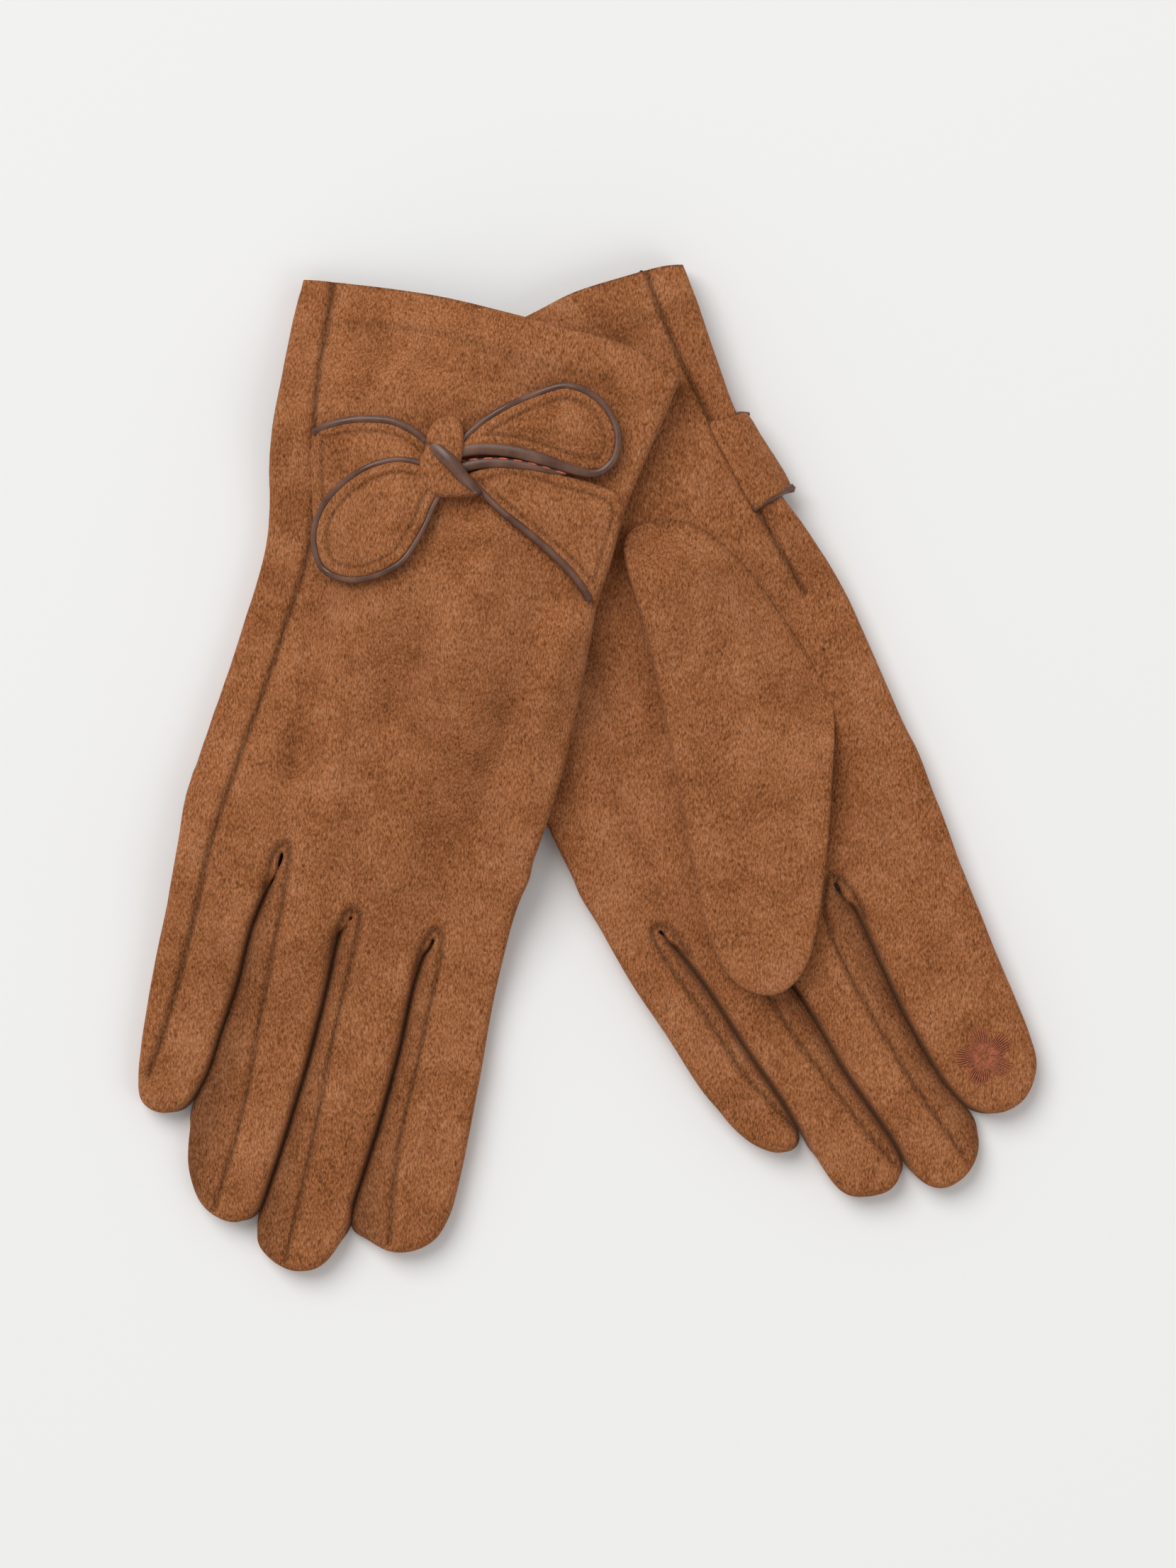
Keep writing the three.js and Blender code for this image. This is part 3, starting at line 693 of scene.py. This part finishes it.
trims = {  # plan path, width at each end and middle (mm), height over the skin, flatness
    "pipeStrapUlnar": ([(-35.2, -33.2), (-31.7, -30.6), (-26.9, -28.4), (-22, -27.1), (-16.9, -26.6),
                        (-11.3, -28), (-5.6, -31.2)], (1.9, 2.0, 2.0), 2.1, 1),
    "pipeLoopUlnar": (loopPlans["loop_ulnar"], (1.7, 1.9, 1.5), 2.7, 1),
    "pipeLoopRadial": ([(-0.8, -28.3), (1.5, -24.7), (4.5, -21), (8.8, -16.9), (14, -12.9), (19.3, -9.7),
                        (22.6, -9), (26.2, -9.4), (30.1, -11.1), (33.2, -13.9), (35.4, -17.4), (36.2, -21.5),
                        (35.4, -25), (33.4, -27.2), (30.6, -28)], (1.5, 1.8, 2.0), 3.0, 1),
    "bandWide": ([(-1.2, -30.4), (2.8, -28.7), (7.7, -27.5), (12.8, -27), (18.1, -27.1), (23.5, -27.6),
                  (27.9, -28), (31.4, -28), (34, -26.8), (35.6, -24.2)], (3.1, 3.3, 1.7), 3.3, 0.62),
    "bandNarrow": ([(0.2, -34.2), (3.6, -32.4), (7.6, -30.9), (11.8, -30.1), (16.9, -29.6), (21.2, -29.6),
                    (25.6, -29.3)], (2.6, 2.3, 1.0), 2.7, 0.5),
    "pipeStrapRadial": ([(4.4, -36.2), (8.6, -38.9), (12.7, -41.5), (18.6, -44.3), (24.5, -47.3),
                         (30.6, -50.9), (34.8, -54.1), (37.8, -57.3)], (1.7, 2.0, 2.1), 2.1, 1)}


def cushion(name, side, plan, low, thick, groove, puff):
    # a sewn, turned piece of suede: rounded edges, a stitched line inside the edge, a soft middle
    smooth = [tuple(p) for p in smoothLoop(plan, 5)]
    obj = remeshed(name, [slabShell(smooth, 0, thick)], sewnPiece["voxel"], sewnPiece["rounding"])
    co, no = arrays(obj.data)
    co = co + no * sewnPiece["plump"]
    rim = np.array(smooth + smooth[:1])
    away = nearLine(co[:, 0], co[:, 1], rim)
    top = ease((co[:, 2] - thick * 0.4) / (thick * 0.4))
    line = np.exp(-((away - groove) / sewnPiece["lineWide"]) ** 2) * top
    co[:, 2] += puff * ease((away - groove) / 5) * top - sewnPiece["lineDeep"] * line * (thick > 1)
    co[:, 2] += sewnPiece["dimple"] * ruffle(co, 5, 2.0) * top
    # painted shade along the stitched groove and on the low sides
    paintedShade = sewnPiece["lineShade"] * line + sewnPiece["sideShade"] * (1 - top)
    setPaintedShade(obj.data, paintedShade)
    heights = np.array([onSkin(side, x, y).z for x, y in co[:, :2]])
    if layouts[side]["lies"] == "backUp":
        z = heights + (co[:, 2] + low) * mm
    else:
        z = underSkin(side, co) - (co[:, 2] + low) * mm
        obj.data.flip_normals()
    setSpots(obj.data, side, co, z)
    return finishSkin(name, wrapMesh(obj), suede, 0)


def wrapMesh(obj):  # the mesh of an object that is no longer needed
    mesh = obj.data
    bpy.data.objects.remove(obj)
    return mesh


def underSkin(side, co):  # height of the underside of the glove, in metres
    return rises[side](co[:, 0], co[:, 1]) * mm


swept = {"step": 0.55, "soften": 9, "tip": 0.6}  # mm between rings, rings averaged, roundness of an end


def sweep(name, side, path, widths, lift, flat, material, sides=10):
    # a cord or flat strip along a plan path lying on the skin, tapering by widths
    line = smoothLoop(path, 8, False)
    step = np.concatenate([[0], np.cumsum(np.linalg.norm(np.diff(line, axis=0), axis=1))])
    along = np.linspace(0, step[-1], max(int(step[-1] / swept["step"]), 8))
    x, y = np.interp(along, step, line[:, 0]), np.interp(along, step, line[:, 1])
    z = np.array([onSkin(side, a, b).z for a, b in zip(x, y)])
    span = np.ones(swept["soften"]) / swept["soften"]
    z = np.convolve(np.pad(z, swept["soften"] // 2, mode="edge"), span, mode="valid") + lift * mm
    px, py = toPair(side, x, y)
    centre = np.stack([px * mm, py * mm, z], 1)
    t = along / along[-1]
    radius = np.interp(t, [0, 0.5, 1], widths) / 2 * mm
    run = np.gradient(centre, axis=0)
    run /= np.linalg.norm(run, axis=1)[:, None]
    across = np.cross(run, (0, 0, 1))
    across /= np.linalg.norm(across, axis=1)[:, None]
    up = np.cross(across, run)
    turn = np.linspace(0, 2 * math.pi, sides, endpoint=False)
    ring = centre[:, None] + radius[:, None, None] * (np.cos(turn)[None, :, None] * across[:, None]
                                                      + flat * np.sin(turn)[None, :, None] * up[:, None])
    verts = ring.reshape(-1, 3).tolist()
    n = len(centre)
    faces = [(i * sides + k, i * sides + (k + 1) % sides, (i + 1) * sides + (k + 1) % sides,
              (i + 1) * sides + k)
             for i in range(n - 1) for k in range(sides)]
    for i, order in ((0, -1), (n - 1, 1)):
        tip = centre[i] + run[i] * order * radius[i] * swept["tip"]
        verts.append(tuple(tip))
        near = [i * sides + k for k in range(sides)]
        faces += [(near[(k + 1) % sides], near[k], len(verts) - 1) if order < 0
                  else (near[k], near[(k + 1) % sides], len(verts) - 1) for k in range(sides)]
    obj = meshObject(name, verts, faces, material)
    smoothed(obj.data)
    return obj


def joined(name, objs, slot, body, *nodes):  # several meshes of one body as one piece
    bpy.ops.object.select_all(action="DESELECT")
    for obj in objs:
        obj.select_set(True)
    bpy.context.view_layer.objects.active = objs[0]
    if len(objs) > 1:
        bpy.ops.object.join()
    objs[0].name = name
    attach(objs[0], body)
    if nodes:
        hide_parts(*nodes)
    return objs[0]


def makeBow(side):
    body = f"{side}_hand"
    squash = bow[side]["squash"]
    for key, plan in strapPlans.items():
        piece = cushion(f"{side}_{key}Suede", side, plan, straps["low"], straps["thick"] * squash,
                        straps["groove"], straps["puff"] * squash)
        joined(piece.name, [piece], "suede", body, f"{side}_{key}")
    for key, plan in loopPlans.items():
        face = inwards([tuple(p) for p in smoothLoop(plan, 3)], loops["inset"])
        piece = cushion(f"{side}_{key}Suede", side, face[::3], loops["low"] * squash,
                        loops["thick"] * squash, loops["groove"], bow[side]["puff"])
        joined(piece.name, [piece], "suede", body, f"{side}_{key}")
    knotShells = [slabShell([tuple(p) for p in smoothLoop(plan, 4)], low * squash, high * squash)
                  for plan, low, high in knotPlans]
    knot = remeshed(f"{side}Knot", knotShells, knotForm["voxel"], knotForm["rounding"])
    co, no = arrays(knot.data)
    co = co + no * knotForm["plump"]
    beyond = co[:, 0] * knotForm["lean"] + co[:, 1] + knotForm["foldAt"]
    fold = np.exp(-(beyond / knotForm["foldWide"]) ** 2)
    co[:, 2] += (knotForm["dimple"] * ruffle(co, 3, 4.0) - knotForm["foldDeep"] * fold) * squash
    # painted shade in the crossing fold
    paintedShade = np.clip(0.5 * fold, 0, 1)
    setPaintedShade(knot.data, paintedShade)
    if side == "right":
        z = onSkin(side, *knotForm["spot"]).z + co[:, 2] * mm
    else:
        z = underSkin(side, co) - co[:, 2] * mm
        knot.data.flip_normals()
    setSpots(knot.data, side, co, z)
    knot = finishSkin(f"{side}KnotSuede", wrapMesh(knot), suede, 0)
    joined(knot.name, [knot], "suede", body, f"{side}_knot")


for side in ("right", "left"):
    makeBow(side)
leathers = {}
for key, (path, widths, lift, flat) in trims.items():
    leathers[key] = sweep(key, "right", path, widths, lift, flat, pipingLeather, 16 if flat < 1 else 10)
bandPath = [(-8, -30), (-6, -30.8), (-4.4, -31.5), (-1, -33.3), (2.1, -35.7), (4.6, -37.4), (6.6, -38.8)]
bandArch = {"high": 6.6, "middle": -0.8, "half": 11.5}  # mm, the band's rise over the knot
knotBand = sweep("knotBand", "right", bandPath, (3.2, 3.4, 2.0), 0, 0.45, pipingLeather, 16)
arch = np.array([v.co[:] for v in knotBand.data.vertices])
ax, ay = fromPair("right", arch[:, 0] / mm, arch[:, 1] / mm)
arch[:, 2] += bandArch["high"] * (1 - ((ax - bandArch["middle"]) / bandArch["half"]) ** 2) * mm
knotBand.data.vertices.foreach_set("co", arch.ravel())
knotBand.data.update()
for end, keys in {"Ulnar": ("pipeLoopUlnar", "pipeStrapUlnar"),
                  "Radial": ("pipeLoopRadial", "bandWide", "bandNarrow", "pipeStrapRadial")}.items():
    joined(f"rightPiping{end}", [leathers[k] for k in keys], "leather_piping", "right_hand",
           f"right_piping_loop_{end.lower()}")
joined("rightKnotBand", [knotBand], "leather_piping", "right_hand", "right_knot_band")
print("bow ready")


# the strap wrapped round the left glove's edge
tabPlan = [(35.6, -38.2), (38.4, -38.4), (42, -38.8), (44.6, -39.4), (45.3, -45), (46.7, -58.2), (44, -59.4),
           (40, -59.8), (36.6, -60.2), (35.8, -50)]
tabPipes = {"tabPipeUpper": ([(40.6, -38.2), (43, -38.3), (45.2, -39.4)], (1.0, 1.2, 1.1), 0.1, 1),
            "tabPipeLower": ([(36.2, -60.4), (40.2, -59.9), (44.4, -59.5), (47, -60)],
                             (1.9, 2.1, 2.1), 0.9, 1)}


tab = {"thick": 2.1, "low": -0.1, "edge": 42, "turn": 41, "bend": 0.16, "dimple": 0.15}


def layFlat(obj, side, low):  # drops a flat piece onto the top of the skin, bent over the glove's edge
    co, _ = arrays(obj.data)
    x = np.minimum(co[:, 0], tab["edge"])
    height = np.array([onSkin(side, a, b).z for a, b in zip(x, co[:, 1])])
    over = np.maximum(co[:, 0] - tab["turn"], 0)
    setSpots(obj.data, side, co, height + (co[:, 2] + low - tab["bend"] * over ** 2) * mm)


tabShell = slabShell([tuple(p) for p in smoothLoop(tabPlan, 4)], 0, tab["thick"])
tabBlank = remeshed("leftStrapBlank", [tabShell], sewnPiece["voxel"], 4)
tabCo, tabNormals = arrays(tabBlank.data)
tabCo = tabCo + tabNormals * sewnPiece["plump"]
tabCo[:, 2] += tab["dimple"] * ruffle(tabCo, 5, 6.0)
tabBlank.data.vertices.foreach_set("co", tabCo.ravel())
layFlat(tabBlank, "left", tab["low"])
leftStrap = finishSkin("leftStrapSuede", wrapMesh(tabBlank), suede, 0)
joined("leftStrapSuede", [leftStrap], "suede", "left_hand")
tabPieces = [sweep(key, "left", path, widths, lift, flat, pipingLeather)
             for key, (path, widths, lift, flat) in tabPipes.items()]
joined("leftStrapPiping", tabPieces, "leather_piping", "left_hand")


# thread, laid along curves by one node tree
thread = {"run": {"pitch": 3.1, "long": 2.4, "thick": 0.46, "jitter": 0.03},
          "satin": {"pitch": 0.5, "long": 0.95, "thick": 0.3, "jitter": 0.1}}


def stitchTree():
    tree = bpy.data.node_groups.new("threadAlongCurves", "GeometryNodeTree")
    add = tree.interface.new_socket
    add("Geometry", in_out="INPUT", socket_type="NodeSocketGeometry")
    for name in ("Pitch", "Stitch Length", "Thread Radius", "Jitter"):
        add(name, in_out="INPUT", socket_type="NodeSocketFloat")
    add("Seed", in_out="INPUT", socket_type="NodeSocketInt")
    add("Thread", in_out="INPUT", socket_type="NodeSocketMaterial")
    add("Geometry", in_out="OUTPUT", socket_type="NodeSocketGeometry")
    given = addNode(tree, "NodeGroupInput").outputs
    spaced = addNode(tree, "GeometryNodeResampleCurve", {"mode": "LENGTH"},
                     {"Curve": given["Geometry"], "Length": given["Pitch"]}).outputs[0]
    tangent = addNode(tree, "GeometryNodeInputTangent").outputs[0]
    wobble = addNode(tree, "FunctionNodeRandomValue", {"data_type": "FLOAT_VECTOR"},
                     {"Min": (-1, -1, -1), "Max": (1, 1, 1), "Seed": given["Seed"]}).outputs[0]
    swing = addNode(tree, "ShaderNodeVectorMath", {"operation": "SCALE"},
                    {0: wobble, "Scale": given["Jitter"]}).outputs[0]
    aim = addNode(tree, "ShaderNodeVectorMath", {"operation": "ADD"}, {0: tangent, 1: swing}).outputs[0]
    turn = addNode(tree, "FunctionNodeAlignRotationToVector", {"axis": "X"}, {"Vector": aim}).outputs[0]
    size = addNode(tree, "ShaderNodeCombineXYZ", inputs={
        "X": given["Stitch Length"], "Y": given["Thread Radius"], "Z": given["Thread Radius"]}).outputs[0]
    bead = addNode(tree, "GeometryNodeMeshIcoSphere", inputs={"Radius": 1.0, "Subdivisions": 2}).outputs[0]
    laid = addNode(tree, "GeometryNodeInstanceOnPoints", inputs={
        "Points": spaced, "Instance": bead, "Rotation": turn, "Scale": size}).outputs[0]
    solid = addNode(tree, "GeometryNodeRealizeInstances", inputs={"Geometry": laid}).outputs[0]
    dyed = addNode(tree, "GeometryNodeSetMaterial", inputs={
        "Geometry": solid, "Material": given["Thread"]}).outputs[0]
    addNode(tree, "NodeGroupOutput", inputs={"Geometry": dyed})
    return tree


threadTree = stitchTree()


def sewn(name, lines, kind, material, seed):  # lines are lists of points in metres
    curve = bpy.data.curves.new(name, "CURVE")
    curve.dimensions = "3D"
    for line in lines:
        spline = curve.splines.new("POLY")
        spline.points.add(len(line) - 1)
        for point, at in zip(spline.points, line):
            point.co = (*at, 1)
    source = bpy.data.objects.new(name, curve)
    bpy.context.scene.collection.objects.link(source)
    nodes = source.modifiers.new("thread", "NODES")
    nodes.node_group = threadTree
    sizes = {"Pitch": kind["pitch"] * mm, "Stitch Length": kind["long"] / 2 * mm,
             "Thread Radius": kind["thick"] / 2 * mm, "Jitter": kind["jitter"],
             "Seed": seed, "Thread": material}
    for item in threadTree.interface.items_tree:
        if item.in_out == "INPUT" and item.name in sizes:
            nodes[item.identifier] = sizes[item.name]
    graph = bpy.context.evaluated_depsgraph_get()
    mesh = bpy.data.meshes.new_from_object(source.evaluated_get(graph))
    bpy.data.objects.remove(source)
    obj = bpy.data.objects.new(name, mesh)
    bpy.context.scene.collection.objects.link(obj)
    smoothed(mesh)
    return obj


bpy.context.view_layer.update()
leatherTree = BVHTree.FromObject(bpy.data.objects["rightPipingRadial"], bpy.context.evaluated_depsgraph_get())
runPath = smoothLoop([(0.6, -32.1), (4.1, -30.9), (8.2, -29.75), (11.6, -29.2), (15.9, -28.95),
                      (20.3, -29.1), (24.4, -29.4)], 8, False)
runLine = []
for x, y in runPath:
    px, py = toPair("right", x, y)
    hit = leatherTree.ray_cast(Vector((px * mm, py * mm, above)), Vector((0, 0, -1)))
    z = hit[0].z if hit[0] else onSkin("right", x, y, 2).z
    runLine.append(Vector((px * mm, py * mm, z + 0.1 * mm)))
runStitches = sewn("rightRunningStitch", [runLine], thread["run"], runThread, 4)
joined("rightRunningStitch", [runStitches], None, "right_hand")


flower = {"left": {"at": (28.6, -202.9), "turn": 12}, "right": {"at": (27.5, -206.6), "turn": 40}}
petal = {  # mm and degrees; notch and ragged shape a petal's tip, curve and pad its satin stitch
    "count": 5, "inner": 1.5, "outer": 7.0, "open": 30, "threads": 12, "points": 8, "notch": 0.36,
    "ragged": 0.25, "raggedIn": 0.35, "curve": 0.05, "lift": 0.12, "pad": 0.22}


def flowerLines(side):
    cx, cy = flower[side]["at"]
    lines = []
    for k in range(petal["count"]):
        middle = math.radians(flower[side]["turn"] + 360 / petal["count"] * k)
        for j in range(petal["threads"]):
            f = 2 * j / (petal["threads"] - 1) - 1
            a = middle + math.radians(petal["open"]) * f
            reach = petal["outer"] * (1 - petal["notch"] * abs(f) ** 2.2)
            reach = reach + petal["ragged"] * math.sin(5 * j + 3 * k)
            start = petal["inner"] + petal["raggedIn"] * math.cos(4 * j + k)
            line = []
            for r in np.linspace(start, reach, petal["points"]):
                swell = math.sin((r - start) / (reach - start) * math.pi)
                way = a + petal["curve"] * f * swell
                x, y = cx + r * math.cos(way), cy + r * math.sin(way)
                line.append((x, y, petal["lift"] + petal["pad"] * swell))
            lines.append(line)
    return lines


for side in ("left", "right"):
    laid = []
    for line in flowerLines(side):
        if side == "left":
            laid.append([onSkin(side, x, y, up) for x, y, up in line])
        else:
            px = [toPair(side, x, y) for x, y, _ in line]
            below = [Vector((a * mm, b * mm, -above)) for a, b in px]
            under = [skinTrees[side].ray_cast(spot, Vector((0, 0, 1)))[0] for spot in below]
            laid.append([Vector((p.x, p.y, max(p.z, 0.0) + 0.05 * mm)) for p in under])
    pad = sewn(f"{side}TouchPad", laid, thread["satin"], padThread, 9)
    joined(f"{side}TouchPad", [pad], "touch_thread", f"{side}_index", f"{side}_index_touch_pad")
print("sewing ready")


# floor, light and camera
studio = {"floor": "#F4F4F3", "half": 3, "world": 0.45, "lens": 85, "sensor": 24, "viewHigh": 376.0,
          "aim": (0.0005, -0.0037), "above": 0.01, "near": 0.01}  # sensor, lens and viewHigh in mm
lights = {"key": ((-2.3, 3, 4.6), 4.4, 222), "fill": ((3.6, -2.2, 4.4), 3.6, 42)}  # place, size, watts


def areaLight(name, at, size, watts):
    light = bpy.data.lights.new(name, "AREA")
    light.shape = "DISK"
    light.size = size
    light.energy = watts
    obj = bpy.data.objects.new(name, light)
    obj.location = at
    obj.rotation_euler = (Vector((0, 0, 0)) - Vector(at)).to_track_quat("-Z", "Y").to_euler()
    bpy.context.scene.collection.objects.link(obj)


floorMaterial = bpy.data.materials.new("paleStudioFloor")
floorMaterial.use_nodes = True
floorShader = floorMaterial.node_tree.nodes["Principled BSDF"]
floorShader.inputs["Base Color"].default_value = linear(studio["floor"])
floorShader.inputs["Roughness"].default_value = 0.9
half = studio["half"]
corners = [(-half, -half, 0), (half, -half, 0), (half, half, 0), (-half, half, 0)]
floor = meshObject("floor", corners, [(0, 1, 2, 3)], floorMaterial)

world = bpy.data.worlds.new("studio")
world.use_nodes = True
sky = world.node_tree.nodes["Background"]
sky.inputs["Color"].default_value = (1, 1, 1, 1)
sky.inputs["Strength"].default_value = studio["world"]
bpy.context.scene.world = world
for name, (at, size, watts) in lights.items():
    areaLight(name, at, size, watts)

camera = bpy.data.objects.new("camera", bpy.data.cameras.new("camera"))
bpy.context.scene.collection.objects.link(camera)
camera.data.sensor_fit = "VERTICAL"
camera.data.sensor_height = studio["sensor"]
camera.data.lens = studio["lens"]
high = studio["viewHigh"] * mm
far = high / studio["sensor"] * studio["lens"]
camera.location = (*studio["aim"], far + studio["above"])
camera.data.clip_start = studio["near"]
bpy.context.scene.camera = camera
bpy.context.scene.view_settings.view_transform = "Standard"
print("studio ready")
